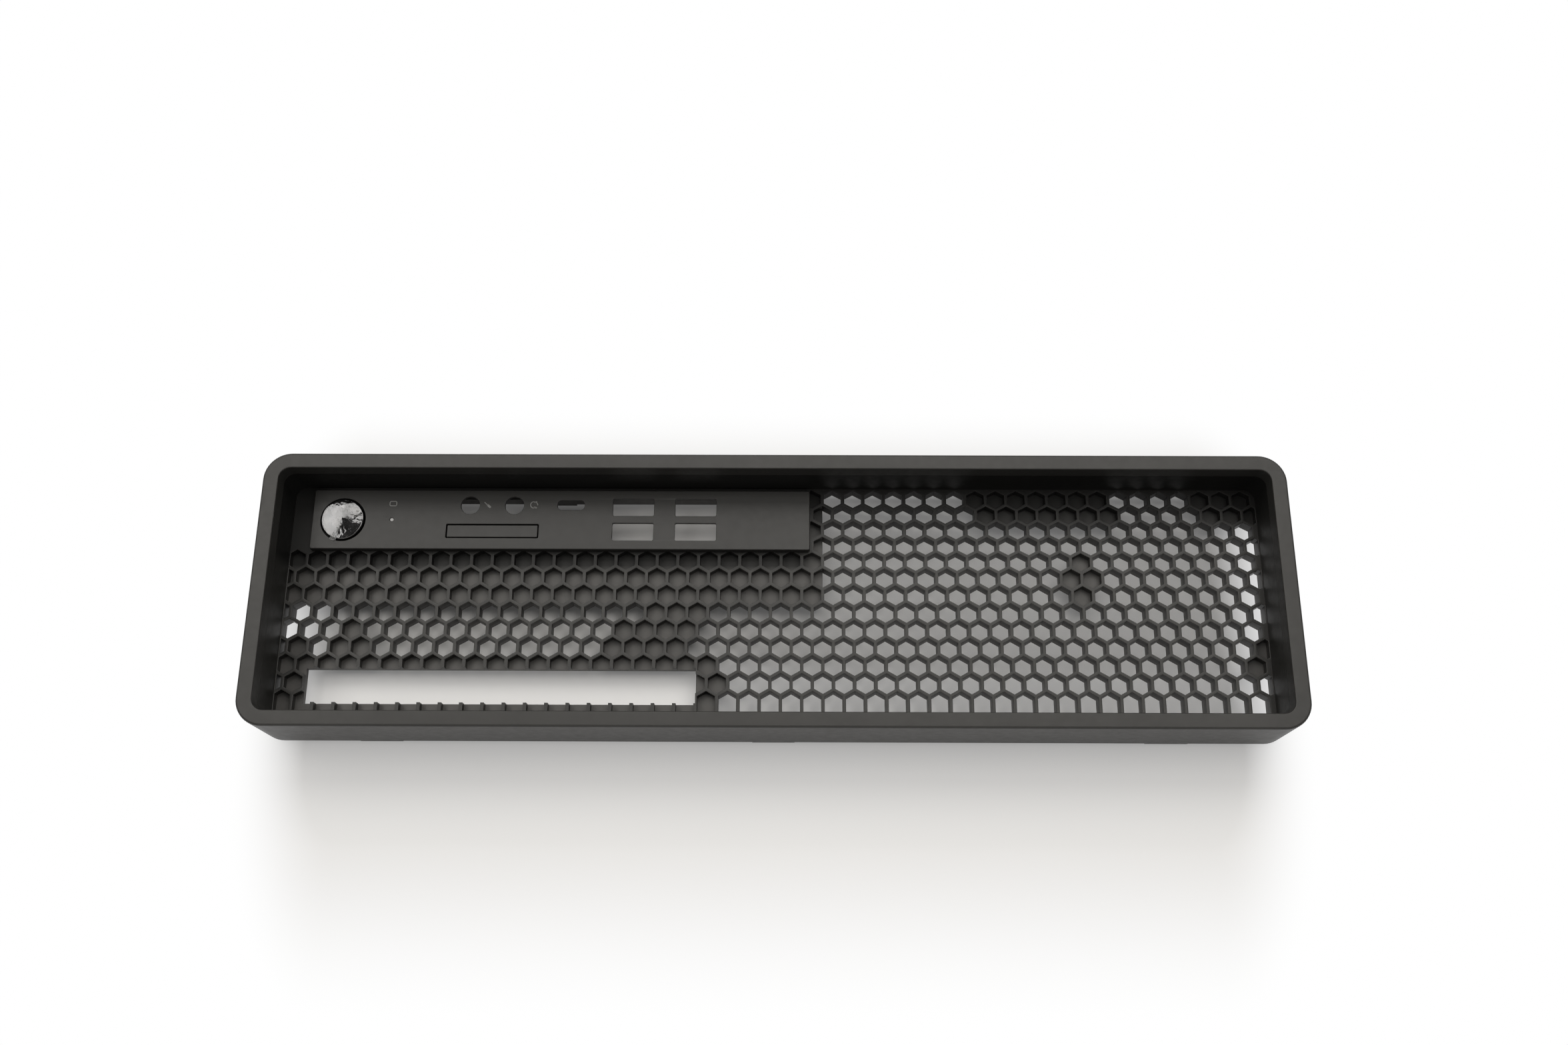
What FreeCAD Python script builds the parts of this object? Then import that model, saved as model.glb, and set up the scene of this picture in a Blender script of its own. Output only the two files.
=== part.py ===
import FreeCAD, Part
import math
import os

# Front bezel of a small workstation, lying on its back: +X runs along its length, +Y towards its top edge
# and +Z out of its front. The origin is below its middle, level with the tips of its snap tabs.
# All sizes are in millimetres.

# Front frame
frame_width = 339.5
frame_height = 92.0
frame_depth = 24.6
rim_width = 5.15
rim_thickness = 2.0
outer_wall = 2.0
lip_wall = 1.6
lip_depth = 6.0
corner_radius = 9.0
rim_bevel = 0.6

# Snap tabs along the frame's long back edges
tab_length = 5.0
tab_width = 14.0
tab_thickness = 1.6
tab_spacing = 130.0
tab_root = 1.5
tab_tip_taper = 0.6
barb_height = 0.9
barb_length = 2.0

# Grille tray
mesh_thickness = 5.0
tray_clearance = 0.15
tray_wall = 1.6
seam_gap = 0.1

# Hexagon mesh, with its first cell measured from the recess's lower left corner
cell_pitch = 7.0
rib_width = 1.15
pocket_depth = 3.0
mesh_border = 0.3
first_column = 2.4
first_row = 7.35
smallest_cell_share = 0.08

# Drive slot, measured from the recess's lower left corner
slot_left = 9.15
slot_low = 6.7
slot_width = 129.7
slot_height = 11.85
slot_round = 1.0

# Port panel, measured from the recess's upper left corner
panel_left = 7.1
panel_down = 1.65
panel_width = 169.5
panel_height = 21.2
panel_raise = 2.6
panel_corner = 0.8
panel_edge_bevel = 0.3
panel_lap = 1.0
panel_gap_line = 0.5
skirt_wall = 1.2
skirt_clearance = 0.2
hook_spacing = 60.0
hook_width = 8.0
hook_reach = 0.7
hook_height = 1.2
hook_clearance = 0.1

# Openings in the panel, measured from its lower left corner to their middles
usb_size = (14.0, 6.2)
usb_columns = (109.35, 130.65)
usb_rows = (6.3, 15.1)
small_port = (88.0, 15.85)
small_port_size = (9.2, 3.5)
small_port_round = 1.4
jack_columns = (53.6, 68.7)
jack_row = 15.7
jack_diameter = 6.4
card_slot = (61.6, 6.45)
card_slot_size = (31.5, 5.0)
light = (27.15, 10.45)
light_diameter = 1.3

# Card slot blank
card_gap = 0.4
card_setback = 0.2
card_flange = 1.0
card_flange_thickness = 1.0

# Drive light pipe
light_clearance = 0.05
light_collar_side = 3.2
light_collar_thickness = 0.8
light_stem_side = 2.0
light_stem_length = 4.6

# Power button
button = (10.5, 10.4)
button_diameter = 14.6
button_gap = 0.35
button_proud = 1.3
button_edge_bevel = 0.4
button_travel = 1.2
plunger_catch = 0.2
plunger_flange_thickness = 0.8
plunger_clearance = 0.1
boss_margin = 1.2
stem_side = 4.0
stem_length = 4.0
flange_clearance = 0.2

# Clear film over the button
film_thickness = 0.12
film_margin = 0.25
film_tab_width = 2.2
film_tab_reach = 1.1
film_tab_angle = 252.0

# Return spring of the button
spring_thickness = 0.6
spring_clearance = 0.15
spring_ring_width = 2.0
spring_arm_width = 1.6
spring_rise = 1.2
spring_bend_run = 2.6
spring_eye_margin = 1.1
post_side = 2.0
post_clearance = 0.1
post_head_margin = 0.7
post_head_thickness = 0.7

# Levels along Z and the recess inside the rim
frame_back = tab_length
frame_front = frame_back + frame_depth
mesh_front = frame_back + mesh_thickness
panel_front = mesh_front + panel_raise
recess_width = frame_width - 2 * rim_width
recess_height = frame_height - 2 * rim_width
recess_left = -recess_width / 2
recess_low = -recess_height / 2
recess_radius = corner_radius - rim_width
panel_x = recess_left + panel_left
panel_y = recess_height / 2 - panel_down - panel_height
window_inset = panel_lap
skirt_inset = window_inset + skirt_clearance

# Levels of the button's pieces
hole_radius = button_diameter / 2 + button_gap
flange_side = 2 * (hole_radius + plunger_catch)
plunger_stop = mesh_front - plunger_clearance
flange_back = plunger_stop - plunger_flange_thickness
boss_back = flange_back - button_travel - plunger_clearance
spring_front = boss_back - plunger_clearance
spring_back = spring_front - spring_thickness
spring_bore = stem_side + 2 * spring_clearance
spring_ring_side = spring_bore + 2 * spring_ring_width
spring_eye_front = spring_front + spring_rise
spring_eye_back = spring_eye_front - spring_thickness
spring_eye_bore = post_side + 2 * post_clearance
spring_eye_side = spring_eye_bore + 2 * spring_eye_margin
spring_bend_start = flange_side / 2 + flange_clearance
spring_bend_end = spring_bend_start + spring_bend_run
post_reach = spring_bend_end + spring_eye_side / 2
post_offset = (spring_ring_side - spring_arm_width) / 2
post_head_side = post_side + 2 * post_head_margin

# Solid pads behind the mesh, as left, right, low and high distances from the recess's lower left corner.
# The cells in front of a pad are shallow pockets, and a plain pad has none.
panel_backing_edge = 181.0
panel_backing_low = 40.5
pocketed_pads = {
    "left_boss": (18.6, 28.6, 23.85, 32.85),
    "middle_boss_low": (109.6, 133.1, 23.85, 32.85),
    "middle_boss_high": (120.6, 140.1, 29.85, 38.85),
    "right_boss": (263.6, 273.6, 41.85, 57.85),
    "right_edge": (321.6, recess_width, 16.85, 27.85),
}
plain_pads = {
    "slot_backing": (0.0, 146.6, 0.0, 21.85),
    "left_edge": (0.0, 8.6, 0.0, 28.85),
    "panel_edge": (0.0, panel_backing_edge, 52.5, recess_height),
    "top_clip": (232.6, 279.1, 70.85, recess_height),
    "top_corner": (310.1, recess_width, 70.85, recess_height),
}

OUT = FreeCAD.Vector(0, 0, 1)


def closed_wire(points):
    """Closed outline through points in the XY plane."""
    corners = [FreeCAD.Vector(x, y, 0) for x, y in points]
    return Part.makePolygon(corners + corners[:1])


def square_outline(middle, size):
    """Closed outline of a rectangle with sharp corners, about its middle."""
    x, y = middle
    half_x, half_y = size[0] / 2, size[1] / 2
    corners = ((-half_x, -half_y), (half_x, -half_y), (half_x, half_y), (-half_x, half_y))
    return closed_wire([(x + right, y + high) for right, high in corners])


def rounded_outline(low, size, radius):
    """Closed outline of a rectangle with round corners, from its lower left corner."""
    edges = []
    corners = ((1, 0, 270), (1, 1, 0), (0, 1, 90), (0, 0, 180))
    for right, high, start in corners:
        middle = FreeCAD.Vector(
            low[0] + (size[0] - radius if right else radius),
            low[1] + (size[1] - radius if high else radius),
            0,
        )
        circle = Part.Circle(middle, OUT, radius)
        edges.append(Part.Arc(circle, math.radians(start), math.radians(start + 90)).toShape())
    sides = []
    for arc, following in zip(edges, edges[1:] + edges[:1]):
        sides.append(arc)
        sides.append(Part.LineSegment(arc.Vertexes[-1].Point, following.Vertexes[0].Point).toShape())
    return Part.Wire(sides)


def centred_outline(middle, size, radius):
    """Closed outline of a rectangle with round corners, about its middle."""
    low = (middle[0] - size[0] / 2, middle[1] - size[1] / 2)
    return rounded_outline(low, size, radius)


def inset_outline(inset, radius):
    """Outline that lies a distance inside the frame's outer outline."""
    size = (frame_width - 2 * inset, frame_height - 2 * inset)
    return centred_outline((0, 0), size, radius)


def panel_outline(inset):
    """Sharp outline that lies a distance inside the panel's edge."""
    middle = (panel_x + panel_width / 2, panel_y + panel_height / 2)
    return square_outline(middle, (panel_width - 2 * inset, panel_height - 2 * inset))


def on_panel(place):
    """Row position of a place that is given from the panel's lower left corner."""
    return panel_x + place[0], panel_y + place[1]


def prism(outline, low, high):
    """Solid between two levels, with the outline as its section."""
    face = Part.Face(outline)
    face.translate(FreeCAD.Vector(0, 0, low))
    return face.extrude(FreeCAD.Vector(0, 0, high - low))


def round_bar(place, diameter, low, high):
    """Upright cylinder between two levels."""
    return Part.makeCylinder(diameter / 2, high - low, FreeCAD.Vector(place[0], place[1], low))


def edges_at_level(solid, level):
    """Edges that lie wholly in one level plane."""
    found = []
    for edge in solid.Edges:
        box = edge.BoundBox
        if abs(box.ZMin - level) < 1e-6 and abs(box.ZMax - level) < 1e-6:
            found.append(edge)
    return found


def snap_tab(x, side):
    """Tab on a long back edge: a plain tongue below, and a tongue with a barb on its inner side above."""
    outer = frame_height / 2 - (outer_wall - tab_thickness) / 2
    inner = outer - tab_thickness
    profile = [
        (outer, frame_back + tab_root),
        (outer, tab_tip_taper),
        (outer - tab_tip_taper, 0),
        (inner, 0),
    ]
    if side > 0:
        profile.append((inner - barb_height, barb_length))
        profile.append((inner, barb_length))
    profile.append((inner, frame_back + tab_root))
    points = [FreeCAD.Vector(x - tab_width / 2, side * y, z) for y, z in profile]
    face = Part.Face(Part.makePolygon(points + points[:1]))
    return face.extrude(FreeCAD.Vector(tab_width, 0, 0))


def make_front_frame():
    """Rim, outer walls and inner lip, hollow between the walls from behind, with its snap tabs."""
    frame = prism(inset_outline(0, corner_radius), frame_back, frame_front)
    frame = frame.makeChamfer(rim_bevel, edges_at_level(frame, frame_front))
    frame = frame.cut(prism(inset_outline(rim_width, recess_radius), frame_back, frame_front))
    inside_wall = inset_outline(outer_wall, corner_radius - outer_wall)
    lip_outside = inset_outline(rim_width - lip_wall, recess_radius + lip_wall)
    channel = prism(inside_wall, frame_back, frame_front - rim_thickness)
    channel = channel.cut(prism(lip_outside, frame_front - lip_depth, frame_front))
    frame = frame.cut(channel)
    for x in (-tab_spacing, 0, tab_spacing):
        for side in (-1, 1):
            frame = frame.fuse(snap_tab(x, side))
    return frame.removeSplitter()


def hexagon(x, y, flats):
    """Corners of a cell that stands on a point, given its width across the flats."""
    radius = flats / math.sqrt(3)
    angles = [math.radians(30 + 60 * step) for step in range(6)]
    return [(x + radius * math.cos(angle), y + radius * math.sin(angle)) for angle in angles]


def clip(points, axis, limit, side):
    """Part of a convex outline on one side of a line along X or Y."""
    kept = []
    for here, after in zip(points, points[1:] + points[:1]):
        depth = (here[axis] - limit) * side
        next_depth = (after[axis] - limit) * side
        if depth >= 0:
            kept.append(here)
        if depth * next_depth < 0:
            share = depth / (depth - next_depth)
            kept.append((here[0] + share * (after[0] - here[0]), here[1] + share * (after[1] - here[1])))
    return kept


def area(points):
    """Area inside an outline."""
    pairs = zip(points, points[1:] + points[:1])
    return abs(sum(a[0] * b[1] - b[0] * a[1] for a, b in pairs)) / 2


def in_box(point, box):
    """Whether a point lies in a box given from the recess's lower left corner."""
    x = point[0] - recess_left
    y = point[1] - recess_low
    return box[0] <= x <= box[1] and box[2] <= y <= box[3]


def cell_outline(x, y, flats):
    """Outline of one cell, cut short at the mesh's border and beside the panel's window."""
    points = hexagon(x, y, flats)
    points = clip(points, 0, recess_left + mesh_border, 1)
    points = clip(points, 0, -recess_left - mesh_border, -1)
    points = clip(points, 1, recess_low + mesh_border, 1)
    points = clip(points, 1, -recess_low - mesh_border, -1)
    if y > panel_y + window_inset:
        if x < panel_x + panel_width / 2:
            points = clip(points, 0, panel_x + window_inset - rib_width, -1)
        else:
            points = clip(points, 0, panel_x + panel_width - window_inset + rib_width, 1)
    return points


def mesh_cells():
    """Outlines of the cells' parts that go right through, and of the cells that are pockets."""
    flats = cell_pitch - rib_width
    smallest = smallest_cell_share * flats**2 * math.sqrt(3) / 2
    slot_box = (slot_left, slot_left + slot_width, slot_low, slot_low + slot_height)
    through = []
    pockets = []
    row = 0
    y = recess_low + first_row
    while y - flats / math.sqrt(3) < -recess_low - mesh_border:
        x = recess_left + first_column + (row % 2) * cell_pitch / 2
        while x - flats / 2 < -recess_left - mesh_border:
            cell = cell_outline(x, y, flats)
            if area(cell) > smallest and not all(in_box(point, slot_box) for point in cell):
                plain = any(in_box((x, y), box) for box in plain_pads.values())
                closed = any(in_box((x, y), box) for box in pocketed_pads.values())
                behind = y > recess_low + panel_backing_low
                seen = clip(cell, 0, recess_left + panel_backing_edge, 1) if behind else cell
                if not plain and not closed and area(seen) > smallest:
                    through.append(seen)
                if not plain and (closed or area(cell) - area(seen) > smallest):
                    pockets.append(cell)
            x += cell_pitch
        row += 1
        y += cell_pitch * math.sqrt(3) / 2
    return through, pockets


def make_grille_tray():
    """Mesh floor with its slot, window, through cells and pockets, and the recess walls round it."""
    through, pockets = mesh_cells()
    floor_inset = outer_wall + tray_clearance
    outlines = [
        inset_outline(floor_inset, corner_radius - floor_inset),
        rounded_outline((recess_left + slot_left, recess_low + slot_low), (slot_width, slot_height), slot_round),
        panel_outline(window_inset),
    ]
    outlines += [closed_wire(points) for points in through]
    floor = Part.makeFace(outlines, "Part::FaceMakerBullseye")
    floor.translate(FreeCAD.Vector(0, 0, frame_back))
    tray = floor.extrude(FreeCAD.Vector(0, 0, mesh_thickness))
    pocket_floor = mesh_front - pocket_depth
    tray = tray.cut(Part.makeCompound([prism(closed_wire(cell), pocket_floor, mesh_front) for cell in pockets]))
    wall_top = frame_front - lip_depth - seam_gap
    wall = prism(inset_outline(rim_width - tray_wall, recess_radius + tray_wall), mesh_front, wall_top)
    wall = wall.cut(prism(inset_outline(rim_width, recess_radius), mesh_front, wall_top))
    return tray.fuse(wall)


def panel_hook(x, side):
    """Tongue on the skirt with a nose that catches behind the tray."""
    skirt_edge = panel_height / 2 - skirt_inset
    nose_top = frame_back - hook_clearance
    profile = [
        (skirt_edge - skirt_wall, mesh_front),
        (skirt_edge, mesh_front),
        (skirt_edge, nose_top),
        (skirt_edge + hook_reach, nose_top),
        (skirt_edge, nose_top - hook_height),
        (skirt_edge - skirt_wall, nose_top - hook_height),
    ]
    middle = panel_y + panel_height / 2
    points = [FreeCAD.Vector(x - hook_width / 2, middle + side * y, z) for y, z in profile]
    face = Part.Face(Part.makePolygon(points + points[:1]))
    return face.extrude(FreeCAD.Vector(hook_width, 0, 0))


def post_places():
    """Row positions of the two posts that hold the button's spring."""
    x, y = on_panel(button)
    return [(x + post_reach, y + side * post_offset) for side in (-1, 1)]


def square_bar(place, side, low, high):
    """Upright square bar between two levels."""
    return prism(square_outline(place, (side, side)), low, high)


def make_io_panel():
    """Raised port plate with its skirt, hooks and posts, and the openings through it."""
    gap_top = mesh_front + panel_gap_line
    plate = rounded_outline((panel_x, panel_y), (panel_width, panel_height), panel_corner)
    panel = prism(plate, gap_top, panel_front)
    panel = panel.makeChamfer(panel_edge_bevel, edges_at_level(panel, panel_front))
    panel = panel.fuse(prism(panel_outline(panel_gap_line), mesh_front, gap_top))
    skirt = prism(panel_outline(skirt_inset), frame_back, mesh_front)
    skirt = skirt.cut(prism(panel_outline(skirt_inset + skirt_wall), frame_back, mesh_front))
    button_place = on_panel(button)
    skirt = skirt.cut(square_bar(button_place, flange_side + 2 * flange_clearance, frame_back, mesh_front))
    panel = panel.fuse(skirt)
    for place in post_places():
        panel = panel.fuse(square_bar(place, post_head_side, spring_eye_front, mesh_front))
        panel = panel.fuse(square_bar(place, post_side, spring_eye_back, spring_eye_front))
        head_back = spring_eye_back - post_head_thickness
        panel = panel.fuse(square_bar(place, post_head_side, head_back, spring_eye_back))
    for side in (-1, 1):
        for step in (-1, 0, 1):
            x = panel_x + panel_width / 2 + step * hook_spacing
            panel = panel.fuse(panel_hook(x, side))

    outlines = [square_outline(on_panel((x, y)), usb_size) for x in usb_columns for y in usb_rows]
    outlines.append(square_outline(on_panel(card_slot), card_slot_size))
    outlines.append(centred_outline(on_panel(small_port), small_port_size, small_port_round))
    cuts = [prism(outline, mesh_front, panel_front) for outline in outlines]
    cuts += [round_bar(on_panel((x, jack_row)), jack_diameter, mesh_front, panel_front) for x in jack_columns]
    cuts.append(round_bar(on_panel(light), light_diameter + 2 * light_clearance, mesh_front, panel_front))
    cuts.append(round_bar(button_place, 2 * hole_radius, mesh_front, panel_front))
    return panel.cut(Part.makeCompound(cuts)).removeSplitter()


def make_card_slot_blank():
    """Flush plate in the card slot, with a flange behind the panel."""
    place = on_panel(card_slot)
    size = [length - 2 * card_gap for length in card_slot_size]
    flange_size = [length + 2 * card_flange for length in card_slot_size]
    plate = prism(square_outline(place, size), mesh_front, panel_front - card_setback)
    return plate.fuse(prism(square_outline(place, flange_size), mesh_front - card_flange_thickness, mesh_front))


def make_drive_light_pipe():
    """Clear pin through the panel, with a collar behind it and a stem towards the board."""
    place = on_panel(light)
    collar_back = mesh_front - light_collar_thickness
    pipe = round_bar(place, light_diameter, mesh_front, panel_front)
    pipe = pipe.fuse(square_bar(place, light_collar_side, collar_back, mesh_front))
    return pipe.fuse(square_bar(place, light_stem_side, collar_back - light_stem_length, collar_back))


def make_power_button():
    """Plated cap with a bevelled edge."""
    cap = round_bar(on_panel(button), button_diameter, plunger_stop, panel_front + button_proud)
    return cap.makeChamfer(button_edge_bevel, edges_at_level(cap, panel_front + button_proud))


def make_button_film():
    """Clear film on the cap's face, with a pull tab past its edge."""
    place = on_panel(button)
    level = panel_front + button_proud
    radius = button_diameter / 2 - button_edge_bevel - film_margin
    film = round_bar(place, 2 * radius, level, level + film_thickness)
    tab_start = radius - film_tab_width / 2
    tab_end = button_diameter / 2 + film_tab_reach
    corner = FreeCAD.Vector(tab_start, -film_tab_width / 2, level)
    tab = Part.makeBox(tab_end - tab_start, film_tab_width, film_thickness, corner)
    tab.rotate(FreeCAD.Vector(0, 0, 0), OUT, film_tab_angle)
    tab.translate(FreeCAD.Vector(place[0], place[1], 0))
    return film.fuse(tab).removeSplitter()


def make_button_plunger():
    """Carrier behind the cap: a square flange behind the panel, and a square boss and stem."""
    place = on_panel(button)
    boss_side = spring_bore + 2 * boss_margin
    plunger = square_bar(place, flange_side, flange_back, plunger_stop)
    plunger = plunger.fuse(square_bar(place, boss_side, boss_back, flange_back))
    return plunger.fuse(square_bar(place, stem_side, boss_back - stem_length, boss_back))


def make_button_spring():
    """Flat spring: a ring behind the plunger's boss and two bent arms that end in eyes on the posts."""
    place = on_panel(button)
    spring = square_bar(place, spring_ring_side, spring_back, spring_front)
    holes = [square_bar(place, spring_bore, spring_back, spring_front)]
    profile = [
        (spring_bore / 2, spring_back),
        (spring_bend_start, spring_back),
        (spring_bend_end, spring_eye_back),
        (post_reach, spring_eye_back),
        (post_reach, spring_eye_front),
        (spring_bend_end, spring_eye_front),
        (spring_bend_start, spring_front),
        (spring_bore / 2, spring_front),
    ]
    for post in post_places():
        points = [FreeCAD.Vector(place[0] + x, post[1] - spring_arm_width / 2, z) for x, z in profile]
        arm = Part.Face(Part.makePolygon(points + points[:1])).extrude(FreeCAD.Vector(0, spring_arm_width, 0))
        spring = spring.fuse(arm)
        spring = spring.fuse(square_bar(post, spring_eye_side, spring_eye_back, spring_eye_front))
        holes.append(square_bar(post, spring_eye_bore, spring_eye_back, spring_eye_front))
    return spring.cut(Part.makeCompound(holes)).removeSplitter()


pieces = {
    "front_frame": make_front_frame,
    "grille_tray": make_grille_tray,
    "io_panel": make_io_panel,
    "card_slot_blank": make_card_slot_blank,
    "drive_light_pipe": make_drive_light_pipe,
    "power_button": make_power_button,
    "button_film": make_button_film,
    "button_plunger": make_button_plunger,
    "button_spring": make_button_spring,
}

os.makedirs("parts", exist_ok=True)
for name, make in pieces.items():
    shape = make()
    shape.exportStep("parts/" + name + ".step")
    print(name, "solids", len(shape.Solids), "valid", shape.isValid(), "volume", round(shape.Volume, 1))
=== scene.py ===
# %% [markdown]
# # Front bezel of a small workstation
# The bezel lies on its back on a table: a deep charcoal frame, and at the bottom of its recess a
# hexagon mesh with a raised port panel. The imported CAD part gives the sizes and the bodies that
# move. This lesson dresses it: each visible moulding is modelled again with the soft edges and
# small pockets of the real one, in millimetres, and is scaled to metres when it is finished.

import math

import bmesh
import bpy
from mathutils import Matrix, Vector


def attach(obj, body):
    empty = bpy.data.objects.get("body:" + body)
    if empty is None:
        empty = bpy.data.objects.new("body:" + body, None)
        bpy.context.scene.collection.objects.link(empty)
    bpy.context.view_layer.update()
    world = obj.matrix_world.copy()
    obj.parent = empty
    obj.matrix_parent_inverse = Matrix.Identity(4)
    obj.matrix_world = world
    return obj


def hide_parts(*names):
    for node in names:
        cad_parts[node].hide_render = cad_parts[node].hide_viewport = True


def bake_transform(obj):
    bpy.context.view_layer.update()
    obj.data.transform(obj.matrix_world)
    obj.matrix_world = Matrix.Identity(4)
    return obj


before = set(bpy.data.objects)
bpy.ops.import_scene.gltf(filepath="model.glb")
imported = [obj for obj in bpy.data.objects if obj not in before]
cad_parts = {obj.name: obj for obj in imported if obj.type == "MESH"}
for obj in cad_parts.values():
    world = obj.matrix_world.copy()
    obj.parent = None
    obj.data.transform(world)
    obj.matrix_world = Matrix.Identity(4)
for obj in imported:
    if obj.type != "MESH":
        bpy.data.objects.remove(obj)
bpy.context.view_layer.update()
print("CAD nodes:", ", ".join(sorted(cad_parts)))

# %% [markdown]
# ## Finishes
# All mouldings are one family of charcoal plastic. Its tool was spark eroded, so the surface has a
# fine grain that scatters light, and the tone wanders a little from place to place. Three noises on
# Object coordinates give that: a broad one for tone, a middle one for gloss and a fine one for the
# grain's bump. An image of plastic could do the same from one side, but a noise in space has no
# seams on any side. A noise seldom leaves its middle, so only that part of it is used.

# %% Helpers for node materials
NOISE_LOW, NOISE_HIGH = 0.3, 0.7


def new_material(name):
    """A new node material, its tree and its shader."""
    material = bpy.data.materials.new(name)
    material.use_nodes = True
    return material, material.node_tree, material.node_tree.nodes["Principled BSDF"]


def noise(tree, scale, detail=2.0):
    """Noise on Object coordinates, with its scale in grains per metre."""
    place = tree.nodes.new("ShaderNodeTexCoord")
    texture = tree.nodes.new("ShaderNodeTexNoise")
    texture.inputs["Scale"].default_value = scale
    texture.inputs["Detail"].default_value = detail
    tree.links.new(place.outputs["Object"], texture.inputs["Vector"])
    return texture.outputs["Fac"]


def ramp(tree, value, start, end, low=0.0, high=1.0):
    """A value that runs from low to high between two others, and stays level past them."""
    node = tree.nodes.new("ShaderNodeMapRange")
    limits = {"From Min": start, "From Max": end, "To Min": low, "To Max": high}
    for name, number in limits.items():
        node.inputs[name].default_value = number
    tree.links.new(value, node.inputs["Value"])
    return node.outputs["Result"]


def tone(tree, scale, dark, light):
    """A colour that wanders between two tones, by a noise of the given scale."""
    node = tree.nodes.new("ShaderNodeValToRGB")
    ends = zip(node.color_ramp.elements, (NOISE_LOW, NOISE_HIGH), (dark, light))
    for end, place, colour in ends:
        end.position = place
        end.color = (*colour, 1)
    tree.links.new(noise(tree, scale), node.inputs["Fac"])
    return node.outputs["Color"]


def surface(tree, shader, colour, gloss, relief, detail=2.0):
    """Links a colour, a gloss (scale, low, high) and a relief (scale, depth, strength)."""
    scale, smooth, rough = gloss
    uneven = ramp(tree, noise(tree, scale), NOISE_LOW, NOISE_HIGH, smooth, rough)
    scale, depth, strength = relief
    bump = tree.nodes.new("ShaderNodeBump")
    bump.inputs["Distance"].default_value = depth
    bump.inputs["Strength"].default_value = strength
    tree.links.new(noise(tree, scale, detail), bump.inputs["Height"])
    tree.links.new(colour, shader.inputs["Base Color"])
    tree.links.new(uneven, shader.inputs["Roughness"])
    tree.links.new(bump.outputs["Normal"], shader.inputs["Normal"])


print("Noises are used from", NOISE_LOW, "to", NOISE_HIGH)

# %% [markdown]
# The mesh's plastic needs more. Its pockets have smooth floors that look paler than the ribs, and
# the upper rows and the row under the panel lie deeper on the real bezel, where less light comes.
# The mesh here is flat, so that shade is painted in: a darker, duller tone. The height of a point
# tells rib from floor, and its place in the part tells how much painted shade its row gets.

# %% Tones of the mesh and its painted shade
FLOOR_TONES = ((0.056, 0.054, 0.051), (0.068, 0.065, 0.062))
# Dark tones of the painted shade on the upper rows and under the panel
PAINTED_SHADE_TONES = ((0.0110, 0.0108, 0.0104), (0.0135, 0.0133, 0.0128))
FLOOR_LEVELS = (0.0078, 0.0071)
# Where the painted shade falls on the mesh, and how much sheen it takes away
PAINTED_SHADE_ROWS = (0.015, 0.034)
PANEL_SHADOW_ROWS = (0.0105, 0.0140)
PANEL_SHADOW_END = (0.016, 0.008)
SHEEN, PAINTED_SHADE_SHEEN = 0.5, 0.25


def along(tree, axis):
    """Place along one axis of the part, in metres."""
    place = tree.nodes.new("ShaderNodeTexCoord")
    split = tree.nodes.new("ShaderNodeSeparateXYZ")
    tree.links.new(place.outputs["Object"], split.inputs["Vector"])
    return split.outputs[axis]


def math_node(tree, operation, *values):
    """One step of arithmetic on node values."""
    node = tree.nodes.new("ShaderNodeMath")
    node.operation = operation
    for socket, value in zip(node.inputs, values):
        tree.links.new(value, socket)
    return node.outputs["Value"]


def blend_tones(tree, share, first, second):
    """A colour between two tones, by a share."""
    mix = tree.nodes.new("ShaderNodeMix")
    mix.data_type = "RGBA"
    tree.links.new(share, mix.inputs["Factor"])
    tree.links.new(first, mix.inputs[6])
    tree.links.new(second, mix.inputs[7])
    return mix.outputs[2]


def mesh_floors_and_painted_shade(tree, shader, ribs):
    """Ribs' tone with paler pocket floors, and painted shade where the real rows lie deep."""
    floors = tone(tree, 60, *FLOOR_TONES)
    painted_shade_tone = tone(tree, 60, *PAINTED_SHADE_TONES)
    x, y, z = [along(tree, axis) for axis in "XYZ"]
    colour = blend_tones(tree, ramp(tree, z, *FLOOR_LEVELS), ribs, floors)
    # Painted shadow under the panel and painted shade on the upper rows; depth is their share
    painted_panel_shadow = math_node(tree, "MULTIPLY", ramp(tree, y, *PANEL_SHADOW_ROWS),
                            ramp(tree, x, *PANEL_SHADOW_END))
    depth = math_node(tree, "MAXIMUM", ramp(tree, y, *PAINTED_SHADE_ROWS), painted_panel_shadow)
    sheen = ramp(tree, depth, 0.0, 1.0, SHEEN, PAINTED_SHADE_SHEEN)
    tree.links.new(sheen, shader.inputs["Specular IOR Level"])
    return blend_tones(tree, depth, colour, painted_shade_tone)


# Painted shade darkens the mesh's rows from this height up
print("Rows get deeper from y", PAINTED_SHADE_ROWS[0], "to", PAINTED_SHADE_ROWS[1], "m")

# %% Charcoal plastics
GLOSS_SPREAD = 0.03


def moulded_plastic(name, dark, light, matt, grain, shade=None):
    """Charcoal plastic with a wandering tone, uneven gloss and a fine grain."""
    material, tree, shader = new_material(name)
    colour = tone(tree, 45, dark, light)
    if shade:
        colour = shade(tree, shader, colour)
    surface(tree, shader, colour, gloss=(420, matt - GLOSS_SPREAD, matt + GLOSS_SPREAD),
            relief=(2600, grain, 0.35), detail=3.0)
    return material


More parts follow.
